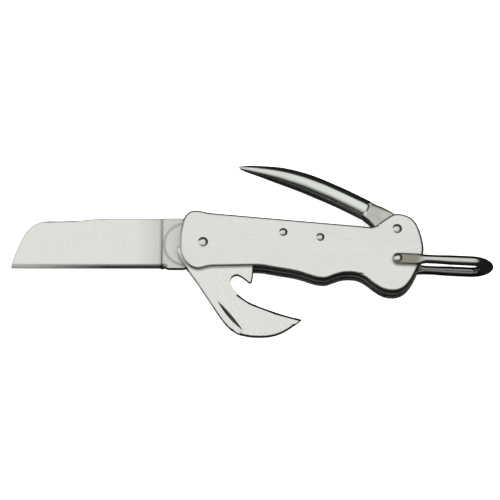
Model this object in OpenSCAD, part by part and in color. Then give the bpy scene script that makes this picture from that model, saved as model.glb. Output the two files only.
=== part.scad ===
// Rigging knife: sheepsfoot blade, combined tin and bottle opener, marlinspike and lanyard bail.
// The knife lies flat on its rear side, +Z up, with the tools pivoting about vertical pins.

/* [Handle] */
// Thickness of each outer scale plate
scale_t = 2.3; // [2:0.1:2.3]
// Thickness of the middle liner that parts the blade slot from the opener slot
liner_t = 1.6; // [1.4:0.1:1.6]
// Depth of the slot that the blade folds into
blade_slot = 3.6; // [3.6:0.1:4]
// Depth of the slot that the opener folds into
opener_slot = 3.2; // [3.2:0.1:3.6]
// How far the spring backs lie below the top edges of the scales
spring_inset = 1.0; // [0.8:0.1:1.4]

/* [Pins] */
// Radius of the main pivot pin's shank
main_pin_r = 1.9; // [1.6:0.1:2]
// Radius of the spring rivets' shanks
rivet_r = 1.5; // [1.2:0.1:1.6]
// Radius of the marlinspike pin's shank
spike_pin_r = 1.9; // [1.6:0.1:2]
// Radius of the bail pin's shank
bail_pin_r = 1.5; // [1.2:0.1:1.6]
// Radius of the main pivot pin's domed head
main_head_r = 2.4; // [2.2:0.1:2.8]
// Radius of the spring rivets' domed heads
rivet_head_r = 2.0; // [1.8:0.1:2.4]
// Height of the domed heads above the surface they clench
head_h = 0.8; // [0.6:0.1:1]
// Radial running clearance of the pivots
fit = 0.05; // [0.03:0.01:0.08]

/* [Blade] */
// Thickness of the sheepsfoot blade at its spine
blade_t = 3.1; // [2.8:0.1:3.2]
// Thickness left behind the cutting bevel
bevel_t = 1.9; // [1.5:0.1:2]
// Side clearance of each folding tool in its slot
side_gap = 0.05; // [0.05:0.01:0.1]

/* [Marlinspike] */
// Radius of the round body
spike_r = 4.95; // [4.6:0.05:5]
// Distance from the spike's pin to its shoulder
shoulder_a = 16.5; // [16:0.5:17]

/* [Bail] */
// Wire radius
wire_r = 2.1; // [1.8:0.1:2.2]
// Pin to the middle of the wire at the crown
bail_l = 43.6; // [42:0.2:46]
// Width of the flattened eyes
eye_w = 5.4; // [5.2:0.1:6]
// Thickness of the flattened eyes
eye_t = 2.4; // [2.2:0.1:2.6]

/* [Hidden] */

// The model is drawn about the main pivot and then moved so that the origin lies
// under the middle of the whole knife, on the surface that it rests on.
shift = [-23.32, 2.88, 4.3];

// Pin centres, from the main pivot
P_A = [0, 0];
P_R1 = [38.2, 4.9];
P_R2 = [55.8, 2.4];
P_B = [92.4, 6.6];
P_C = [92.6, -8.7];

// Layers from the rear face upwards
z_blade = scale_t;
z_liner = z_blade + blade_slot;
z_open = z_liner + liner_t;
z_front = z_open + opener_slot;
z_top = z_front + scale_t;
z_mid = z_top / 2;
blade_z0 = z_blade + side_gap;
blade_z1 = z_liner - side_gap;
blade_zc = (blade_z0 + blade_z1) / 2;
open_z0 = z_open + side_gap;
open_z1 = z_front - side_gap;
open_zc = (open_z0 + open_z1) / 2;

// A smooth curve through hand-set points
function cr(a, b, c, d, t) = 0.5 * (2*b + (c - a)*t + (2*a - 5*b + 4*c - d)*t*t + (3*b - a - 3*c + d)*t*t*t);
function curve(p, n = 4) = concat(
    [for (i = [0 : len(p) - 2]) let (a = p[max(i - 1, 0)], b = p[i], c = p[i + 1], d = p[min(i + 2, len(p) - 1)])
        for (k = [0 : n - 1]) cr(a, b, c, d, k / n)],
    [p[len(p) - 1]]);

// Outline of the scales: rounded head, straight back, thumb notch, bolster and finger valley
head_pts = [[2.6, 14.9], [-1.0, 15.8], [-3.8, 16.1], [-6.4, 15.5], [-8.3, 13.8], [-9.6, 11.2], [-10.3, 8],
            [-10.9, 4.5], [-11, 0.5], [-10.9, -3.5], [-10.2, -6.6], [-8.6, -9.5], [-6.5, -11.8],
            [-4.2, -13.1], [-1.8, -13.4], [0.6, -12.9], [3, -12.3], [6, -12.1]];
grip_pts = [[24, -11.8], [28, -11.95], [31.8, -12.6], [35.5, -13.3], [39.2, -13.9], [43, -14.6], [46.8, -15.6],
            [50.6, -16.9], [54.4, -18.0], [58.2, -18.2], [62, -16.9], [65.8, -15.7], [69.6, -15.4],
            [73.4, -15.9], [77.2, -17.9], [81, -21], [84.8, -23.4], [88.6, -24.4], [92.4, -24.2],
            [96.2, -22.2], [99.6, -17.8], [102.4, -12], [104.2, -7.6], [104.9, -3.6], [104.5, 0.6],
            [103.6, 4.4], [102.2, 8.4], [100, 11.6], [97.2, 13.4], [94, 14.3], [91, 14.2], [88.2, 12.7],
            [85.2, 10.6], [82.6, 8.6], [80.6, 7.8], [78.4, 7.85], [76, 8.15]];

module handle_2d() polygon(concat(curve(head_pts), curve(grip_pts)));

// Everything below the backs of the springs and clear of the marlinspike's tang
module under_back_2d()
    polygon([[-14, -30], [-14, 12.9 - spring_inset], [-8.4, 13.3 - spring_inset], [-6.2, 15.0 - spring_inset],
             [-3.6, 15.6 - spring_inset], [-1, 15.3 - spring_inset], [2.6, 14.4 - spring_inset],
             [60, 9.5 - spring_inset], [65, 8.6 - spring_inset], [69.5, 7.7 - spring_inset], [73, 5.8],
             [77, 4.3], [81, 3.3], [84, 2.0], [88, 0.1], [91, -0.5], [94.5, -0.6], [98, -1.8], [108, -2.0],
             [108, -30]]);

// A clenched dome on the upper side, seated at z
module dome(z, r, h) translate([0, 0, z]) intersection() {
    translate([0, 0, h - (r*r + h*h) / (2*h)]) sphere(r = (r*r + h*h) / (2*h), $fn = 64);
    cylinder(r = r, h = h, $fn = 64);
}

// A pin with a dome at both ends
module pin(p, r, head, z0, z1) translate([p[0], p[1], 0]) {
    translate([0, 0, z0]) cylinder(r = r, h = z1 - z0, $fn = 64);
    dome(z1, head, head_h);
    translate([0, 0, z0 + z0]) mirror([0, 0, 1]) dome(z0, head, head_h);
}

module hole(p, r) translate([p[0], p[1], -20]) cylinder(r = r, h = 60, $fn = 64);

module pin_holes() {
    hole(P_A, main_pin_r);
    hole(P_R1, rivet_r);
    hole(P_R2, rivet_r);
    hole(P_B, spike_pin_r);
    hole(P_C, bail_pin_r);
}

// Plain outer plates
module scale_plate(z) difference() {
    translate([0, 0, z]) linear_extrude(scale_t) handle_2d();
    pin_holes();
}

module front_scale() color([0.86, 0.87, 0.85]) translate(shift) scale_plate(z_front);

module rear_scale() color([0.84, 0.85, 0.83]) translate(shift) scale_plate(0);

// Middle plate, cut away around the marlinspike
module centre_liner() color([0.72, 0.73, 0.71]) translate(shift) difference() {
    translate([0, 0, z_liner]) linear_extrude(liner_t) intersection() {
        handle_2d();
        under_back_2d();
    }
    hole(P_A, main_pin_r);
    hole(P_R1, rivet_r);
    hole(P_R2, rivet_r);
    hole(P_C, bail_pin_r);
}

// Spring bars along the back, one in each slot
module spring_2d(low) intersection() {
    polygon(concat(low, [[94.5, 20], [low[0][0], 20]]));
    handle_2d();
    under_back_2d();
}

blade_spring_low = [[-8.3, 8.7], [12, 9.1], [20, 7.0], [30, 4.3], [38, 2.0], [48, -0.6], [56, -2.3],
                    [66, -4.2], [76, -4.8], [94.5, -4.8]];
opener_spring_low = [[5.6, 8.7], [24.5, 8.2], [28, 6.6], [31, 3.2], [34, 1.8], [40, 1.0], [50, -0.4], [58, -1.1],
                     [64, -2.4], [72, -4.2], [80, -4.8], [94.5, -4.8]];

module blade_backspring() color([0.66, 0.67, 0.66]) translate(shift) difference() {
    translate([0, 0, z_blade]) linear_extrude(blade_slot) spring_2d(blade_spring_low);
    hole(P_R1, rivet_r);
    hole(P_R2, rivet_r);
}

module opener_backspring() color([0.66, 0.67, 0.66]) translate(shift) difference() {
    translate([0, 0, z_open]) linear_extrude(opener_slot) spring_2d(opener_spring_low);
    hole(P_R1, rivet_r);
    hole(P_R2, rivet_r);
}

// Sheepsfoot blade: straight edge, spine curving down to the point
spine_pts = [[-43, 14.3], [-51, 14.0], [-59, 13.3], [-67, 12.9], [-74, 12.9], [-78, 12.5], [-82, 10.4],
             [-84.4, 7.9], [-86, 5.2], [-87.4, 2.4], [-88.6, -0.3], [-89.6, -3], [-90.5, -5.6], [-91.2, -7.8],
             [-91.7, -10]];
module blade_2d() polygon(concat([[-8.5, 14.3]], curve(spine_pts), [[-91.4, -10.6], [-19.6, -10.6], [-18.8, -10.3],
                                 [-18.2, -10.2], [-17.6, -10.4], [-17, -10.8], [-9.2, -10.8], [-6.5, -9.4],
                                 [-3.5, -7.6], [0, 0], [-6, 5.9], [-8.5, 6.5]]));
module tang_pad_2d() {
    intersection() {
        blade_2d();
        translate([-8.3, 1]) circle(r = 10.3, $fn = 96);
    }
    polygon([[-17, -10.8], [-9.2, -10.8], [-6.5, -9.4], [-3.5, -7.6], [0, 0], [-8, -8.6]]);
    circle(r = 8.4, $fn = 96);
}
// Section across the blade, edge to spine, with a sloping plunge up to the full thickness of the root
module grind() {
    h = blade_t / 2;
    b = bevel_t / 2;
    g = h - 0.2;
    translate([-100, 0, blade_zc]) rotate([90, 0, 90]) linear_extrude(80.3)
        polygon([[20, g], [12.6, g], [-8.5, b], [-10.6, 0.06], [-12, 0.06], [-12, -0.06], [-10.6, -0.06], [-8.5, -b], [12.6, -g], [20, -g]]);
    translate([0, 20, blade_zc]) rotate([90, 0, 0]) linear_extrude(40)
        polygon([[-20.3, h - 0.8], [-19.5, h], [10, h], [10, -h], [-19.5, -h], [-20.3, 0.8 - h]]);
}
module main_blade() color([0.85, 0.86, 0.84]) translate(shift) difference() {
    union() {
        intersection() {
            translate([0, 0, blade_z0]) linear_extrude(blade_z1 - blade_z0) blade_2d();
            grind();
        }
        translate([0, 0, blade_z0]) linear_extrude(blade_z1 - blade_z0) tang_pad_2d();
    }
    hole(P_A, main_pin_r + fit);
}

// Tin opener with a hooked cutting edge and a bottle notch near the root
opener_back = [[-8.5, -10.6], [-5.7, -15.5], [-3.4, -18.7], [-1.0, -22.4], [1.3, -26.0], [3.5, -29.4], [5.7, -32.9],
               [8.0, -36.4], [10.5, -39.8], [13.4, -42.7], [17.3, -44.8], [22, -46.0], [27.5, -46.3], [32.6, -45.8],
               [37, -44.4], [41, -42.1], [44.4, -39.5], [46.7, -37.8]];
opener_edge = [[46.3, -37.3], [42.5, -36.5], [38.7, -35.4], [34.9, -34.1], [31.1, -32.8], [27.3, -31.4], [23.5, -29.7],
               [20.4, -28.2], [17.6, -25.9], [15.0, -23.4], [13.3, -21.0], [12.9, -18.6], [13.7, -16.4], [15.9, -15.4],
               [17.9, -16.1], [20, -17.6], [22.2, -19.4]];
module opener_2d() {
    polygon(concat([[-9.8, -0.2], [-12.6, -1.9], [-12, -4.6], [-10.8, -7.2]], curve(opener_back), curve(opener_edge),
                   [[23.3, -18.7], [23.8, -15.4], [24, -11.6], [23.2, -9], [20, -6.8], [12, -4], [8, -1], [0, 0], [-6, 3]]));
    circle(r = 8.4, $fn = 96);
}
// Long nail groove beside the back, as a slant-rimmed cutting wheel leaves it
module nail_groove() translate([12.6, -36.3, open_z1 + 38.8]) rotate([0, 0, -50.5]) rotate([90, 0, 0])
    rotate_extrude($fn = 128) polygon([[32, -1.2], [38.7, -1.2], [40, -0.5], [38.7, 0.8], [32, 0.8]]);
// Bevels along the cutting edge, laid on chords of its curve, on both faces
edge_chords = [[[16.6, -25.1], [23.5, -29.8]], [[22.4, -29.2], [35.4, -34.35]], [[34.2, -33.95], [47.6, -37.75]]];
module edge_bevels() for (c = edge_chords, s = [-1, 1])
    let (d = c[1] - c[0], l = sqrt(d[0]*d[0] + d[1]*d[1]))
    translate([c[0][0], c[0][1], open_zc]) rotate([0, 0, atan2(d[1], d[0])])
    rotate([90, 0, 90]) linear_extrude(l) polygon([[-1.5, s * 1.6], [0, s * 0.15], [2, s * 0.15], [2, s * 3], [-1.5, s * 3]]);
module tin_opener() color([0.82, 0.83, 0.81]) translate(shift) difference() {
    translate([0, 0, open_z0]) linear_extrude(open_z1 - open_z0) opener_2d();
    edge_bevels();
    nail_groove();
    hole(P_A, main_pin_r + fit);
}

// Marlinspike, drawn along +X from its pin and then turned to its part-open rest
spike_turn = 156.8;
spike_line = [[shoulder_a, 4.5, 0.82], [shoulder_a + 0.4, 4.52, 0.93], [shoulder_a + 1.1, 4.56, 0.995],
              [21, 4.85, 1], [26, 5.25, 1], [32, 5.6, 1], [38, 5.8, 1], [44, 5.9, 0.998], [49, 5.85, 0.975],
              [53.5, 5.6, 0.94], [58, 5.2, 0.895], [62.5, 4.65, 0.82], [67, 3.9, 0.7], [71.5, 3.05, 0.565],
              [75.5, 2.2, 0.44], [78.6, 1.5, 0.325], [81.0, 0.95, 0.2], [82.0, 0.7, 0.1]];
spike_path = curve(spike_line, 2);
spike_sides = 32;
function spike_dir(i) = let (a = spike_path[max(i - 1, 0)], b = spike_path[min(i + 1, len(spike_path) - 1)])
    atan2(-(b[1] - a[1]), b[0] - a[0]);
module spike_body() {
    n = len(spike_path);
    m = spike_sides;
    polyhedron(
        points = concat(
            [for (i = [0 : n - 1]) for (j = [0 : m - 1])
                let (c = spike_path[i], t = i == 0 ? 0 : spike_dir(i), r = spike_r * c[2], q = 360 * j / m)
                [c[0] - r * cos(q) * sin(t), -c[1] + r * cos(q) * cos(t), r * sin(q)]],
            [[shoulder_a, -spike_path[0][1], 0], [82.4, -0.6, 0]]),
        faces = concat(
            [for (i = [0 : n - 2]) for (j = [0 : m - 1]) [(i + 1)*m + j, i*m + (j + 1) % m, i*m + j]],
            [for (i = [0 : n - 2]) for (j = [0 : m - 1]) [(i + 1)*m + j, (i + 1)*m + (j + 1) % m, i*m + (j + 1) % m]],
            [for (j = [0 : m - 1]) [j, (j + 1) % m, n*m]],
            [for (j = [0 : m - 1]) [(n - 1)*m + (j + 1) % m, (n - 1)*m + j, n*m + 1]]));
}
module spike_tang_2d() {
    polygon([[shoulder_a, -8.0], [10, -7.9], [5.5, -7.4], [2, -6.4], [0, 0], [4, 5.4], [8, 3.6], [11, 2.0], [13.4, 0.8], [15, 0.2], [shoulder_a + 1, -0.5], [shoulder_a + 1, -7.0]]);
    circle(r = 6.7, $fn = 96);
}
module marlinspike() color([0.55, 0.56, 0.55]) translate(shift) translate([P_B[0], P_B[1], 0]) difference() {
    rotate([0, 0, spike_turn]) union() {
        translate([0, 0, z_mid]) spike_body();
        translate([0, 0, blade_z0]) linear_extrude(open_z1 - blade_z0) spike_tang_2d();
    }
    hole([0, 0], spike_pin_r + fit);
}

// Lanyard bail: one wire bent round the butt, with a flattened eye on each leg
bail_gap = 0.1;
bail_turn = -2.7;
leg_z = z_top + bail_gap + wire_r;
crown_r = leg_z - z_mid;
leg_end = bail_l - crown_r;
module bail_leg() {
    translate([0, 0, z_top + bail_gap]) linear_extrude(eye_t) {
        circle(d = eye_w, $fn = 64);
        polygon([[0, -eye_w/2], [9.2, -eye_w/2], [12.2, -wire_r + 0.2], [12.2, wire_r - 0.2], [9.2, eye_w/2], [0, eye_w/2]]);
    }
    translate([11.2, 0, leg_z]) rotate([0, 90, 0]) cylinder(r = wire_r, h = leg_end - 11.2, $fn = 48);
}
module bail() color([0.35, 0.36, 0.35]) translate(shift) translate([P_C[0], P_C[1], 0]) rotate([0, 0, bail_turn]) difference() {
    union() {
        bail_leg();
        translate([0, 0, 2 * z_mid]) mirror([0, 0, 1]) bail_leg();
        translate([leg_end, 0, z_mid]) rotate([90, 0, 0]) rotate([0, 0, -90])
            rotate_extrude(angle = 180, $fn = 96) translate([crown_r, 0]) circle(r = wire_r, $fn = 48);
    }
    hole([0, 0], bail_pin_r + fit);
}

// Pins and rivets
module main_pivot_pin() color([0.78, 0.78, 0.76]) translate(shift) pin(P_A, main_pin_r, main_head_r, 0, z_top);
module front_spring_rivet() color([0.78, 0.78, 0.76]) translate(shift) pin(P_R1, rivet_r, rivet_head_r, 0, z_top);
module rear_spring_rivet() color([0.78, 0.78, 0.76]) translate(shift) pin(P_R2, rivet_r, rivet_head_r, 0, z_top);
module spike_pivot_pin() color([0.78, 0.78, 0.76]) translate(shift) pin(P_B, spike_pin_r, 2.3, 0, z_top);
module bail_pin() color([0.8, 0.8, 0.78]) translate(shift)
    pin(P_C, bail_pin_r, 2.0, -(bail_gap + eye_t + 0.05), z_top + bail_gap + eye_t + 0.05);

// Short tubes on the bail pin that hold the scales and liner apart
module spacer(z, h) translate([P_C[0], P_C[1], z]) difference() {
    cylinder(r = 2.6, h = h, $fn = 64);
    translate([0, 0, -1]) cylinder(r = bail_pin_r, h = h + 2, $fn = 64);
}
module upper_bail_spacer() color([0.6, 0.6, 0.58]) translate(shift) spacer(z_open, opener_slot);
module lower_bail_spacer() color([0.6, 0.6, 0.58]) translate(shift) spacer(z_blade, blade_slot);

front_scale();
rear_scale();
centre_liner();
blade_backspring();
opener_backspring();
main_blade();
tin_opener();
marlinspike();
bail();
main_pivot_pin();
front_spring_rivet();
rear_spring_rivet();
spike_pivot_pin();
bail_pin();
upper_bail_spacer();
lower_bail_spacer();
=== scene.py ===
import bpy, bmesh, math
from mathutils import Vector, Matrix


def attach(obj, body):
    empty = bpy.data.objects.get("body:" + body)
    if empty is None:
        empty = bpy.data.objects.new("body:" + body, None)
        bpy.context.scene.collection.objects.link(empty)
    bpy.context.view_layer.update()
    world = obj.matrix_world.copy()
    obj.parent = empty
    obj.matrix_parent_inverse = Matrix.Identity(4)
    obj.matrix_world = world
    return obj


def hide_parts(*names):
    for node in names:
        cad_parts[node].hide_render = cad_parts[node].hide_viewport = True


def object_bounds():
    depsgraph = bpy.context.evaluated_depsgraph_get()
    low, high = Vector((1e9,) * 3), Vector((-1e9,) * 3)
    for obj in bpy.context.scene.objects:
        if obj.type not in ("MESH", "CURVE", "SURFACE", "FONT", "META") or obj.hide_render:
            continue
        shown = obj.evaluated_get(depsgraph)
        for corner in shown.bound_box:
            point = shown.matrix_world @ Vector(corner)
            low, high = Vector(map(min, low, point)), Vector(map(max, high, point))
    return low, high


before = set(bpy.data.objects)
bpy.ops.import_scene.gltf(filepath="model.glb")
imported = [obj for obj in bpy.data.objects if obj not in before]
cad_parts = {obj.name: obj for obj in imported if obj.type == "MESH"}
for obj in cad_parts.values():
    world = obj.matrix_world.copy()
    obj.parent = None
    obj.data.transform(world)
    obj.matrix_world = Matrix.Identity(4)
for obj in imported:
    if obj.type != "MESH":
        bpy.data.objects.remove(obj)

lo0, hi0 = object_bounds()
MM = 0.001
SH = Vector((-23.32, 2.88, 4.3))          # the CAD shift, from the main pivot, in mm
PB = (92.4, 6.6)                         # marlinspike pin
PC = (92.6, -8.7)                        # bail pin


def P(x, y, z):
    return Vector(((x + SH.x) * MM, (y + SH.y) * MM, (z + SH.z) * MM))


# ---------------------------------------------------------------- materials
def nodes_of(mat):
    mat.use_nodes = True
    nt = mat.node_tree
    nt.nodes.clear()
    return nt


def steel(name, color, rough, streak=(1, 0, 0), lines=2600.0, bump=0.02, spread=0.06, tint=0.035, dark=(0.5, 0.5, 0.48), aniso=0.0, soil=0.0, tones_and_painted_shade=(), arris=0.0, matte=0.0, matte_z=None):
    """Ground or polished stainless steel: fine lines along streak, faint cloudy variation and a brighter, smoother worn edge."""
    m = bpy.data.materials.new(name)
    nt = nodes_of(m)
    N, L = nt.nodes, nt.links
    out = N.new("ShaderNodeOutputMaterial")
    bs = N.new("ShaderNodeBsdfPrincipled")
    L.new(bs.outputs[0], out.inputs[0])
    bs.inputs["Metallic"].default_value = 1.0
    if aniso:
        bs.inputs["Anisotropic"].default_value = aniso
    tc = N.new("ShaderNodeTexCoord")
    # turn the coordinates so that the lines run along streak
    s = Vector(streak).normalized()
    ang = math.atan2(s.y, s.x)
    rot = N.new("ShaderNodeMapping")
    rot.vector_type = "POINT"
    rot.inputs["Rotation"].default_value = (0, 0, -ang)
    L.new(tc.outputs["Object"], rot.inputs[0])
    mp = N.new("ShaderNodeMapping")
    mp.inputs["Scale"].default_value = (lines * 0.022, lines, lines)
    L.new(rot.outputs[0], mp.inputs[0])
    fine = N.new("ShaderNodeTexNoise")
    fine.inputs["Scale"].default_value = 1.0
    fine.inputs["Detail"].default_value = 3.0
    fine.inputs["Roughness"].default_value = 0.6
    L.new(mp.outputs[0], fine.inputs["Vector"])
    mp2 = N.new("ShaderNodeMapping")
    mp2.inputs["Scale"].default_value = (14, 420, 420)
    L.new(rot.outputs[0], mp2.inputs[0])
    broad = N.new("ShaderNodeTexNoise")
    broad.inputs["Scale"].default_value = 1.0
    broad.inputs["Detail"].default_value = 4.0
    L.new(mp2.outputs[0], broad.inputs["Vector"])
    cloud = N.new("ShaderNodeTexNoise")
    cloud.inputs["Scale"].default_value = 60.0
    cloud.inputs["Detail"].default_value = 3.0
    L.new(tc.outputs["Object"], cloud.inputs["Vector"])

    def math_node(op, a, b=None, clamp=False):
        n = N.new("ShaderNodeMath")
        n.operation = op
        n.use_clamp = clamp
        for i, v in enumerate((a, b)):
            if v is None:
                continue
            if isinstance(v, (int, float)):
                n.inputs[i].default_value = v
            else:
                L.new(v, n.inputs[i])
        return n.outputs[0]

    def rng(src, a, b, c=0.3, d=0.7, smooth=False):
        n = N.new("ShaderNodeMapRange")
        n.inputs["From Min"].default_value = c
        n.inputs["From Max"].default_value = d
        n.inputs["To Min"].default_value = a
        n.inputs["To Max"].default_value = b
        n.interpolation_type = "SMOOTHSTEP" if smooth else "LINEAR"
        L.new(src, n.inputs["Value"])
        return n.outputs[0]

    # roughness: lines + broad streaks + clouds
    r1 = rng(fine.outputs["Fac"], -spread * 0.6, spread * 0.6)
    r2 = rng(broad.outputs["Fac"], -spread * 0.5, spread * 0.5)
    r3 = rng(cloud.outputs["Fac"], -spread * 0.5, spread * 0.5)
    r = math_node("ADD", math_node("ADD", r1, r2), math_node("ADD", r3, rough))
    # worn, brighter edges
    geo = N.new("ShaderNodeNewGeometry")
    if matte:
        # the broad ground faces scatter some light evenly, the cut edges do not
        ns = N.new("ShaderNodeSeparateXYZ")
        L.new(geo.outputs["True Normal"], ns.inputs[0])
        flat = rng(math_node("ABSOLUTE", ns.outputs[2]), 0.0, matte, 0.86, 0.98)
        if matte_z:
            zs = N.new("ShaderNodeSeparateXYZ")
            L.new(tc.outputs["Object"], zs.inputs[0])
            low = math_node("LESS_THAN", zs.outputs[2], (matte_z[0] + SH.z) * MM)
            high = math_node("GREATER_THAN", zs.outputs[2], (matte_z[1] + SH.z) * MM)
            flat = math_node("MULTIPLY", flat, math_node("MAXIMUM", low, high))
        L.new(math_node("SUBTRACT", 1.0, flat), bs.inputs["Metallic"])
    edge = rng(geo.outputs["Pointiness"], 0.0, 1.0, 0.515, 0.56)
    r = math_node("SUBTRACT", r, math_node("MULTIPLY", edge, rough * 0.3))
    r = math_node("MAXIMUM", r, 0.03)
    L.new(r, bs.inputs["Roughness"])
    # colour
    mix = N.new("ShaderNodeMix")
    mix.data_type = "RGBA"
    mix.inputs["A"].default_value = (*color, 1)
    mix.inputs["B"].default_value = (*[c * d for c, d in zip(color, dark)], 1)
    f = math_node("ADD", rng(broad.outputs["Fac"], -tint, tint), rng(cloud.outputs["Fac"], -tint, tint))
    f = math_node("ADD", f, tint * 1.2 + soil, clamp=True)
    L.new(f, mix.inputs["Factor"])
    col = mix.outputs["Result"]
    # position marks that multiply the colour: most of them are painted shade, one is a painted lighter patch
    if tones_and_painted_shade:
        sp = N.new("ShaderNodeSeparateXYZ")
        L.new(tc.outputs["Object"], sp.inputs[0])
    for t in tones_and_painted_shade:
        # distances are in mm about the main pivot, in the rest position that the mesh is stored in
        if t["kind"] == "ramp":
            ux, uy = t["dir"]
            ox, oy = t.get("at", (0, 0))
            d = math_node("ADD", math_node("MULTIPLY", sp.outputs[0], ux * 1000), math_node("MULTIPLY", sp.outputs[1], uy * 1000))
            d = math_node("SUBTRACT", d, (SH.x + ox) * ux + (SH.y + oy) * uy)
            w = rng(d, 0.0, 1.0, t["from"], t["to"])
        else:
            ox, oy = t["at"]
            dx = math_node("SUBTRACT", math_node("MULTIPLY", sp.outputs[0], 1000), SH.x + ox)
            dy = math_node("SUBTRACT", math_node("MULTIPLY", sp.outputs[1], 1000), SH.y + oy)
            d = math_node("SQRT", math_node("ADD", math_node("MULTIPLY", dx, dx), math_node("MULTIPLY", dy, dy)))
            if t["kind"] == "ring":
                d = math_node("ABSOLUTE", math_node("SUBTRACT", d, t["r"]))
            w = rng(d, 0.0, 1.0, t["from"], t["to"])
        for gx, g0, g1 in t.get("gates", ()):
            gd = math_node("MULTIPLY", sp.outputs[gx], 1000)
            w = math_node("MULTIPLY", w, rng(gd, 0.0, 1.0, g0 + SH[gx], g1 + SH[gx]))
        tm = N.new("ShaderNodeMix")
        tm.data_type = "RGBA"
        tm.blend_type = "MULTIPLY"
        L.new(w, tm.inputs["Factor"])
        L.new(col, tm.inputs["A"])
        v = t["value"]
        tm.inputs["B"].default_value = (*(v if isinstance(v, tuple) else (v, v, v)), 1)
        col = tm.outputs["Result"]
        if "rough" in t:
            r = math_node("ADD", r, math_node("MULTIPLY", w, t["rough"]))
            L.new(r, bs.inputs["Roughness"])
    L.new(col, bs.inputs["Base Color"])
    bp = N.new("ShaderNodeBump")
    bp.inputs["Strength"].default_value = bump
    bp.inputs["Distance"].default_value = 0.00005
    L.new(fine.outputs["Fac"], bp.inputs["Height"])
    if arris:
        rb = N.new("ShaderNodeBevel")
        rb.samples = 6
        rb.inputs["Radius"].default_value = arris * MM
        L.new(rb.outputs[0], bp.inputs["Normal"])
    L.new(bp.outputs[0], bs.inputs["Normal"])
    m.diffuse_color = (*color, 1)
    return m


TURN = math.radians(156.8)
SD = (math.cos(TURN), math.sin(TURN))
M_scale = steel("scale_satin", (0.556, 0.562, 0.542), 0.30, bump=0.06, matte=0.45, matte_z=(0.3, 12.7))
ALL = {"kind": "dist", "at": (200, 0), "from": -1, "to": 0}
M_blade = steel("blade_satin", (0.562, 0.570, 0.545), 0.26, matte=0.45, streak=(0, 1, 0), bump=0.08, spread=0.07, tones_and_painted_shade=[
    # painted shade: the blade face darkens towards the plunge, with a painted dark line along the plunge itself
    {"kind": "ramp", "dir": (1, 0), "from": -33, "to": -20, "value": 0.80},
    dict(ALL, value=0.62, gates=[(0, -21.2, -20.2), (0, -18.8, -19.5)]),
    # painted shade: a near-black band along the edge bevel, a grey band by the plunge, and a dark spot in the choil
    {"kind": "ramp", "dir": (0, -1), "from": 8.5, "to": 9.6, "value": 0.10, "gates": [(0, -82, -46), (0, -18.4, -19.6)]},
    {"kind": "ramp", "dir": (0, -1), "from": 8.3, "to": 8.8, "value": 0.62, "gates": [(0, -18.4, -19.6)]},
    {"kind": "dist", "at": (-18.6, -10.2), "from": 2.2, "to": 1.0, "value": 0.3},
    # painted light and shade: the pad is painted lighter inside, with a painted dark outline round its rim
    {"kind": "dist", "at": (-8.3, 1), "from": 10.5, "to": 9.6, "value": 1.07},
    {"kind": "ring", "at": (-8.3, 1), "r": 10.4, "from": 1.1, "to": 0.2, "value": 0.66}])
M_opener = steel("opener_satin", (0.572, 0.580, 0.556), 0.28, matte=0.45, streak=(0.5, -0.8, 0), bump=0.08, tones_and_painted_shade=[
    # painted shade inside the nail groove
    {"kind": "dist", "at": (12.6, -36.3), "from": 9.6, "to": 9.0, "value": 0.42, "gates": [(2, 10.62, 10.3), (2, 8.5, 8.6)]}])
M_spike = steel("spike_polish", (0.70, 0.72, 0.69), 0.17, streak=(SD[0], SD[1], 0), bump=0.03, spread=0.04, arris=1.1, tones_and_painted_shade=[
    {"kind": "ramp", "dir": SD, "at": PB, "from": 16.9, "to": 16.3, "value": (0.84, 0.82, 0.79), "rough": 0.28},
    # painted shade: a dark band along the upper edge of the tang, past the shoulder
    {"kind": "ramp", "dir": (-SD[1] * -1, SD[0] * -1), "at": PB, "from": 6.5, "to": 7.0, "value": 0.22, "gates": [(0, 79.8, 80.8)]},
    {"kind": "ramp", "dir": (SD[0], SD[1]), "at": PB, "from": 30, "to": 70, "value": 0.93}])
M_bail = steel("bail_polish", (0.60, 0.61, 0.58), 0.16, bump=0.03, spread=0.06, tint=0.12, tones_and_painted_shade=[
    {"kind": "dist", "at": PC, "from": 12.8, "to": 8.8, "value": (0.52, 0.48, 0.43), "rough": 0.2},
    # painted shade: the rear leg, lying under the handle, is painted darker
    {"kind": "dist", "at": PC, "from": -1, "to": 0, "value": 0.42, "gates": [(2, 5.5, 2.5)]}])
M_pin = steel("pin_polish", (0.68, 0.685, 0.66), 0.27, bump=0.02, spread=0.04)
M_spring = steel("spring_ground", (0.50, 0.51, 0.50), 0.34, bump=0.1)
M_liner = steel("liner_rolled", (0.53, 0.54, 0.53), 0.32, bump=0.08)

SLOT = {"front_scale": M_scale, "rear_scale": M_scale, "centre_liner": M_liner, "blade_backspring": M_spring,
        "opener_backspring": M_spring, "main_blade": M_blade, "tin_opener": M_opener, "marlinspike": M_spike,
        "bail": M_bail, "main_pivot_pin": M_pin, "front_spring_rivet": M_pin, "rear_spring_rivet": M_pin,
        "spike_pivot_pin": M_pin, "bail_pin": M_pin, "upper_bail_spacer": M_liner, "lower_bail_spacer": M_liner}
BEVEL = {"front_scale": 1.5, "rear_scale": 0.6, "centre_liner": 0.15, "blade_backspring": 0.2, "opener_backspring": 0.2,
         "main_blade": 0.6, "tin_opener": 0.85, "marlinspike": 0.3, "upper_bail_spacer": 0.1, "lower_bail_spacer": 0.1}


def set_material(o, m):
    me = o.data
    if not me.materials:
        me.materials.append(m)
    for i in range(len(me.materials)):
        me.materials[i] = m
    for s in o.material_slots:
        s.material = m


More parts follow.
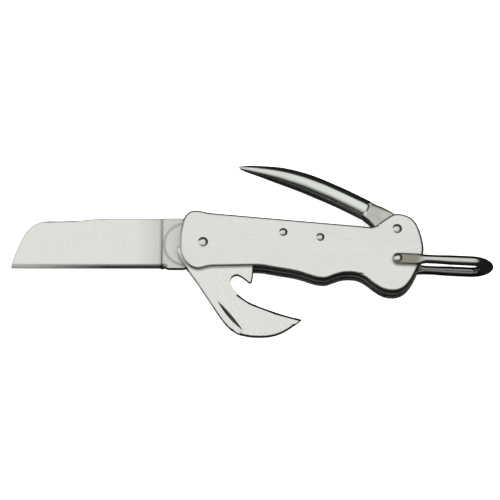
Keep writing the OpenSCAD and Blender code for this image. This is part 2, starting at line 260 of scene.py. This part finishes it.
def rim_weights(name, centres, z_lo=None, z_hi=None, least=0.1):
    """Marks the sharp edges for the bevel: full width on the outline, a hair on the pin holes."""
    ng = bpy.data.node_groups.new(name, "GeometryNodeTree")
    ng.interface.new_socket("Geometry", in_out="INPUT", socket_type="NodeSocketGeometry")
    ng.interface.new_socket("Geometry", in_out="OUTPUT", socket_type="NodeSocketGeometry")
    N, L = ng.nodes, ng.links
    gi, go = N.new("NodeGroupInput"), N.new("NodeGroupOutput")
    pos = N.new("GeometryNodeInputPosition")

    def mth(op, a, b):
        n = N.new("ShaderNodeMath")
        n.operation = op
        for i, v in enumerate((a, b)):
            if isinstance(v, (int, float)):
                n.inputs[i].default_value = v
            else:
                L.new(v, n.inputs[i])
        return n.outputs[0]

    d = None
    for c in centres:
        v = P(c[0], c[1], 0)
        sb = N.new("ShaderNodeVectorMath")
        sb.operation = "SUBTRACT"
        L.new(pos.outputs[0], sb.inputs[0])
        sb.inputs[1].default_value = (v.x, v.y, 0)
        ml = N.new("ShaderNodeVectorMath")
        ml.operation = "MULTIPLY"
        L.new(sb.outputs[0], ml.inputs[0])
        ml.inputs[1].default_value = (1, 1, 0)
        ln = N.new("ShaderNodeVectorMath")
        ln.operation = "LENGTH"
        L.new(ml.outputs[0], ln.inputs[0])
        dv = mth("SUBTRACT", ln.outputs["Value"], c[2] * MM)
        d = dv if d is None else mth("MINIMUM", d, dv)
    ea = N.new("GeometryNodeInputMeshEdgeAngle")
    w = mth("GREATER_THAN", d, 0.0)
    if z_lo is not None or z_hi is not None:
        sz = N.new("ShaderNodeSeparateXYZ")
        L.new(pos.outputs[0], sz.inputs[0])
        zz = sz.outputs[2]
        keep = mth("GREATER_THAN", zz, (z_hi + SH.z) * MM) if z_hi is not None else mth("LESS_THAN", zz, (z_lo + SH.z) * MM)
        w = mth("MULTIPLY", w, keep)
    w = mth("MAXIMUM", w, least)
    w = mth("MULTIPLY", w, mth("GREATER_THAN", ea.outputs["Unsigned Angle"], math.radians(35)))
    st = N.new("GeometryNodeStoreNamedAttribute")
    st.domain = "EDGE"
    st.data_type = "FLOAT"
    st.inputs["Name"].default_value = "bevel_weight_edge"
    L.new(gi.outputs[0], st.inputs["Geometry"])
    L.new(w, st.inputs["Value"])
    L.new(st.outputs[0], go.inputs[0])
    return ng


def crease_group():
    """Keeps every fold steeper than 36 degrees crisp under smooth shading."""
    ng = bpy.data.node_groups.new("creases", "GeometryNodeTree")
    ng.interface.new_socket("Geometry", in_out="INPUT", socket_type="NodeSocketGeometry")
    ng.interface.new_socket("Geometry", in_out="OUTPUT", socket_type="NodeSocketGeometry")
    N, L = ng.nodes, ng.links
    gi, go = N.new("NodeGroupInput"), N.new("NodeGroupOutput")
    ea = N.new("GeometryNodeInputMeshEdgeAngle")
    gt = N.new("ShaderNodeMath")
    gt.operation = "GREATER_THAN"
    gt.inputs[1].default_value = math.radians(36)
    L.new(ea.outputs["Unsigned Angle"], gt.inputs[0])
    st = N.new("GeometryNodeStoreNamedAttribute")
    st.domain = "EDGE"
    st.data_type = "BOOLEAN"
    st.inputs["Name"].default_value = "sharp_edge"
    L.new(gi.outputs[0], st.inputs["Geometry"])
    L.new(gt.outputs[0], st.inputs["Value"])
    L.new(st.outputs[0], go.inputs[0])
    return ng


CREASES = crease_group()
PINS = [(0, 0, 3.2), (38.2, 4.9, 3.2), (55.8, 2.4, 3.2), (*PB, 3.2), (*PC, 3.2)]
GROOVE = [(12.6 + 0.636 * k, -36.3 - 0.772 * k, 2.7) for k in range(-8, 9, 2)]
EDGE = [(x, y, 2.2) for x, y in ((46.7, -37.8), (44.5, -37), (42.5, -36.5), (40.5, -36), (38.7, -35.4), (36.8, -34.8), (34.9, -34.1),
        (33, -33.4), (31.1, -32.8), (29.2, -32), (27.3, -31.4), (25.4, -30.5), (23.5, -29.7), (20.4, -28.2), (19, -27), (17.6, -25.9),
        (16.3, -24.6), (15, -23.4), (13.3, -21), (12.9, -18.6), (13.7, -16.4), (15.9, -15.4), (17.9, -16.1), (20, -17.6), (22.2, -19.4))]
RIMS = {"front_scale": rim_weights("front_rims", PINS, z_hi=12.9),
        "rear_scale": rim_weights("rear_rims", PINS, z_lo=0.1),
        "tin_opener": rim_weights("opener_rims", [(0, 0, 9.2), (46.7, -37.8, 5.0)] + GROOVE + EDGE, least=0.0),
        "main_blade": rim_weights("blade_rims", [(-8.3, 1, 11.5)] + [(-19.9, y, 0.9) for y in range(-11, 14)]
                                  + [(x, -10.6, 3.4) for x in range(-94, -14, 2)], least=0.0)}


def finish_edges(o, name, width_mm, segments=3, limit=35):
    """Welds the imported seams and rolls the sharp arrises."""
    w = o.modifiers.new("weld", "WELD")
    w.merge_threshold = 2e-6
    d = o.modifiers.new("planar", "DECIMATE")
    d.decimate_type = "DISSOLVE"
    d.angle_limit = math.radians(0.4)
    plate = name in RIMS
    if plate:
        g = o.modifiers.new("rims", "NODES")
        g.node_group = RIMS[name]
        segments = 5
    b = o.modifiers.new("arris", "BEVEL")
    b.width = width_mm * MM
    b.segments = segments
    b.limit_method = "WEIGHT" if plate else "ANGLE"
    b.angle_limit = math.radians(limit)
    b.harden_normals = False
    b.use_clamp_overlap = not plate
    b.miter_outer = "MITER_ARC"
    if name in ("front_scale", "rear_scale"):
        b.harden_normals = True
        return
    c = o.modifiers.new("creases", "NODES")
    c.node_group = CREASES
    n = o.modifiers.new("wn", "WEIGHTED_NORMAL")
    n.keep_sharp = True
    n.weight = 80


def smooth_flags(me):
    if "custom_normal" in me.attributes:
        me.attributes.remove(me.attributes["custom_normal"])
    me.polygons.foreach_set("use_smooth", [True] * len(me.polygons))
    me.update()


for name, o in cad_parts.items():
    set_material(o, SLOT[name])
    smooth_flags(o.data)
    if name in BEVEL:
        finish_edges(o, name, BEVEL[name])

# ---------------------------------------------------------------- the bail, one forged wire
def bail_mesh():
    """Round wire bent into a U, hammered flat and rounded off at both pin eyes."""
    z_top, gap, wr, eye_r, eye_t = 13.0, 0.1, 2.1, 2.7, 2.4
    swell, thick = 0.25, 1.2

    def smooth(t):
        t = min(max(t, 0.0), 1.0)
        return t * t * (3 - 2 * t)

    leg_z = z_top + gap + wr
    mid = z_top / 2
    crown = leg_z - mid
    end = 43.6 - crown
    leg = []                                     # x, centre height, half width, half height, squareness
    for deg in (6, 14, 24, 36, 50, 66, 82):
        q = math.radians(deg)
        leg.append((-eye_r * math.cos(q), z_top + gap + eye_t / 2, eye_r * math.sin(q), eye_t / 2 * (0.62 + 0.38 * math.sin(q) ** 0.5), 3.6))
    for x in (1, 3, 5, 7):
        leg.append((x, z_top + gap + eye_t / 2, eye_r, eye_t / 2, 3.6))
    for k in range(11):
        t = k / 10
        q = t * t * (3 - 2 * t)
        b = eye_t / 2 + (wr - eye_t / 2) * q
        leg.append((8 + 5.6 * t, z_top + gap + b, eye_r + (wr - eye_r) * q, b, 3.6 + (2 - 3.6) * q))
    for k in range(1, 17):
        x = 13.6 + (end - 13.6) * k / 16
        leg.append((x, leg_z, wr + swell * smooth((x - 17) / 9), wr, 2))
    path = [(x, z, 0.0, 1.0, a, b, n) for x, z, a, b, n in leg]
    for k in range(1, 60):
        f = math.pi / 2 - math.pi * k / 60
        inner = 1 / math.hypot(math.cos(f) / (crown - wr - 2 * thick), math.sin(f) / (crown - wr))
        b = (crown + wr - inner) / 2             # round outside, elliptical inside
        r = crown + wr - b
        path.append((end + r * math.cos(f), mid + r * math.sin(f), math.cos(f), math.sin(f), wr + swell, b, 2))
    path += [(x, z_top - z, 0.0, -1.0, a, b, n) for x, z, a, b, n in reversed(leg)]
    turn = Matrix.Rotation(math.radians(-2.7), 4, "Z")
    base = P(PC[0], PC[1], 0)
    bm = bmesh.new()
    rings = []
    M = 48
    for x, z, ux, uz, a, b, n in path:
        ring = []
        for j in range(M):
            q = 2 * math.pi * (j + 0.5) / M
            c, s = math.cos(q), math.sin(q)
            cc = math.copysign(abs(c) ** (2 / n), c)
            ss = math.copysign(abs(s) ** (2 / n), s)
            v = turn @ Vector((x + ux * b * ss, a * cc, z + uz * b * ss))
            ring.append(bm.verts.new(base + v * MM))
        rings.append(ring)
    for r0, r1 in zip(rings, rings[1:]):
        for j in range(M):
            bm.faces.new((r0[j], r0[(j + 1) % M], r1[(j + 1) % M], r1[j]))
    bm.faces.new(rings[0])
    bm.faces.new(list(reversed(rings[-1])))
    bmesh.ops.recalc_face_normals(bm, faces=bm.faces)
    me = bpy.data.meshes.new("bail_wire")
    bm.to_mesh(me)
    bm.free()
    return me


def bore(me, centre, r, z0, z1, seg=64):
    """Returns a copy of the mesh with a round hole through it."""
    bm = bmesh.new()
    bmesh.ops.create_cone(bm, cap_ends=True, segments=seg, radius1=r * MM, radius2=r * MM, depth=(z1 - z0) * MM)
    cme = bpy.data.meshes.new("bore_tool")
    bm.to_mesh(cme)
    bm.free()
    a = bpy.data.objects.new("bore_work", me)
    c = bpy.data.objects.new("bore_tool", cme)
    c.location = P(centre[0], centre[1], (z0 + z1) / 2)
    for ob in (a, c):
        bpy.context.scene.collection.objects.link(ob)
    md = a.modifiers.new("bore", "BOOLEAN")
    md.operation = "DIFFERENCE"
    md.solver = "EXACT"
    md.object = c
    dg = bpy.context.evaluated_depsgraph_get()
    dg.update()
    res = bpy.data.meshes.new_from_object(a.evaluated_get(dg))
    for ob in (a, c):
        bpy.data.objects.remove(ob)
    bpy.data.meshes.remove(cme)
    return res


bail_me = bore(bail_mesh(), PC, 1.55, -6, 20)
bail_me.name = "bail_wire_bored"
bail_me.polygons.foreach_set("use_smooth", [True] * len(bail_me.polygons))
bail_me.set_sharp_from_angle(angle=math.radians(50))
bail_me.materials.clear()
bail_me.materials.append(M_bail)
bail_ob = bpy.data.objects.new("bail_forged", bail_me)
bpy.context.scene.collection.objects.link(bail_ob)
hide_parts("bail")
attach(bail_ob, "bail")

# ---------------------------------------------------------------- stage, light, camera
floor_me = bpy.data.meshes.new("floor")
bm = bmesh.new()
bmesh.ops.create_grid(bm, x_segments=8, y_segments=8, size=6.0)
bm.to_mesh(floor_me)
bm.free()
floor = bpy.data.objects.new("floor", floor_me)
bpy.context.scene.collection.objects.link(floor)
floor.location = (0, 0, lo0.z - 0.00005)
fm = bpy.data.materials.new("floor_paper")
nt = nodes_of(fm)
fo = nt.nodes.new("ShaderNodeOutputMaterial")
fb = nt.nodes.new("ShaderNodeBsdfPrincipled")
fb.inputs["Base Color"].default_value = (0.93, 0.93, 0.93, 1)
fb.inputs["Roughness"].default_value = 0.9
fb.inputs["Specular IOR Level"].default_value = 0.0
fb.inputs["Emission Color"].default_value = (1, 1, 1, 1)
fb.inputs["Emission Strength"].default_value = 0.62
fn = nt.nodes.new("ShaderNodeTexNoise")
fn.inputs["Scale"].default_value = 900.0
fn.inputs["Detail"].default_value = 4.0
fp = nt.nodes.new("ShaderNodeBump")
fp.inputs["Strength"].default_value = 0.05
fp.inputs["Distance"].default_value = 0.0002
nt.links.new(fn.outputs["Fac"], fp.inputs["Height"])
nt.links.new(fp.outputs[0], fb.inputs["Normal"])
nt.links.new(fb.outputs[0], fo.inputs[0])
floor_me.materials.append(fm)
floor.visible_glossy = False

world = bpy.data.worlds.new("studio")
bpy.context.scene.world = world
world.use_nodes = True
nt = world.node_tree
nt.nodes.clear()
N, L = nt.nodes, nt.links
wo = N.new("ShaderNodeOutputWorld")
tc = N.new("ShaderNodeTexCoord")
sep = N.new("ShaderNodeSeparateXYZ")
L.new(tc.outputs["Generated"], sep.inputs[0])


def M(op, a, b=None, clamp=False):
    n = N.new("ShaderNodeMath")
    n.operation = op
    n.use_clamp = clamp
    for i, v in enumerate((a, b)):
        if v is None:
            continue
        if isinstance(v, (int, float)):
            n.inputs[i].default_value = v
        else:
            L.new(v, n.inputs[i])
    return n.outputs[0]


def ramp(src, a, b, lo=0.0, hi=1.0):
    n = N.new("ShaderNodeMapRange")
    n.interpolation_type = "SMOOTHSTEP"
    n.inputs["From Min"].default_value = a
    n.inputs["From Max"].default_value = b
    n.inputs["To Min"].default_value = lo
    n.inputs["To Max"].default_value = hi
    L.new(src, n.inputs["Value"])
    return n.outputs[0]


ay = M("MULTIPLY", M("ARCTAN2", sep.outputs["Y"], sep.outputs["Z"]), 180 / math.pi)
ax = M("MULTIPLY", M("ARCTAN2", sep.outputs["X"], sep.outputs["Z"]), 180 / math.pi)
box_y = M("MULTIPLY", ramp(ay, -60, -8), ramp(ay, 50, 38))
box_x = M("MULTIPLY", ramp(ax, -96, -76), ramp(ax, 44, 20))
soft = M("MULTIPLY", box_y, box_x)
up = ramp(sep.outputs["Z"], -0.05, 0.1)
soft = M("MULTIPLY", soft, up)
# a pale wall to the left, seen by the edges that face it
wall = M("MULTIPLY", ramp(sep.outputs["X"], -0.72, -0.9), ramp(sep.outputs["Z"], -0.66, -0.45, 0.0, 0.5))
soft = M("MAXIMUM", soft, wall)
level = M("ADD", M("MULTIPLY", soft, 1.02), 0.018)
bg = N.new("ShaderNodeBackground")
bg.inputs["Color"].default_value = (0.985, 1.0, 0.97, 1)
L.new(level, bg.inputs["Strength"])
white = N.new("ShaderNodeBackground")
white.inputs["Color"].default_value = (1, 1, 1, 1)
white.inputs["Strength"].default_value = 1.0
lp = N.new("ShaderNodeLightPath")
mx = N.new("ShaderNodeMixShader")
L.new(lp.outputs["Is Camera Ray"], mx.inputs[0])
L.new(bg.outputs[0], mx.inputs[1])
L.new(white.outputs[0], mx.inputs[2])
L.new(mx.outputs[0], wo.inputs[0])


def area(name, size, power, loc, glossy=False):
    ld = bpy.data.lights.new(name, "AREA")
    ld.shape = "SQUARE"
    ld.size = size
    ld.energy = power
    ob = bpy.data.objects.new(name, ld)
    bpy.context.scene.collection.objects.link(ob)
    ob.location = loc
    ob.rotation_mode = "QUATERNION"
    ob.rotation_quaternion = (Vector((0, 0, 0)) - Vector(loc)).to_track_quat("-Z", "Y")
    ob.visible_glossy = glossy
    return ob


area("fill", 5.0, 160, (0, 0, 3.0))

EL = math.radians(72)
DIST = 1.5
WIDE = 0.2375
target = P(22.33, -4.15, 13.0)
cd = bpy.data.cameras.new("camera")
cd.sensor_width = 36
cd.lens = 36 * DIST / WIDE
cd.clip_start, cd.clip_end = 0.05, 50
cam = bpy.data.objects.new("camera", cd)
bpy.context.scene.collection.objects.link(cam)
back = Vector((0, -math.cos(EL), math.sin(EL)))
cam.location = target + back * DIST
cam.rotation_mode = "QUATERNION"
cam.rotation_quaternion = (-back).to_track_quat("-Z", "Y")
bpy.context.scene.camera = cam
bpy.context.scene.view_settings.view_transform = "Standard"
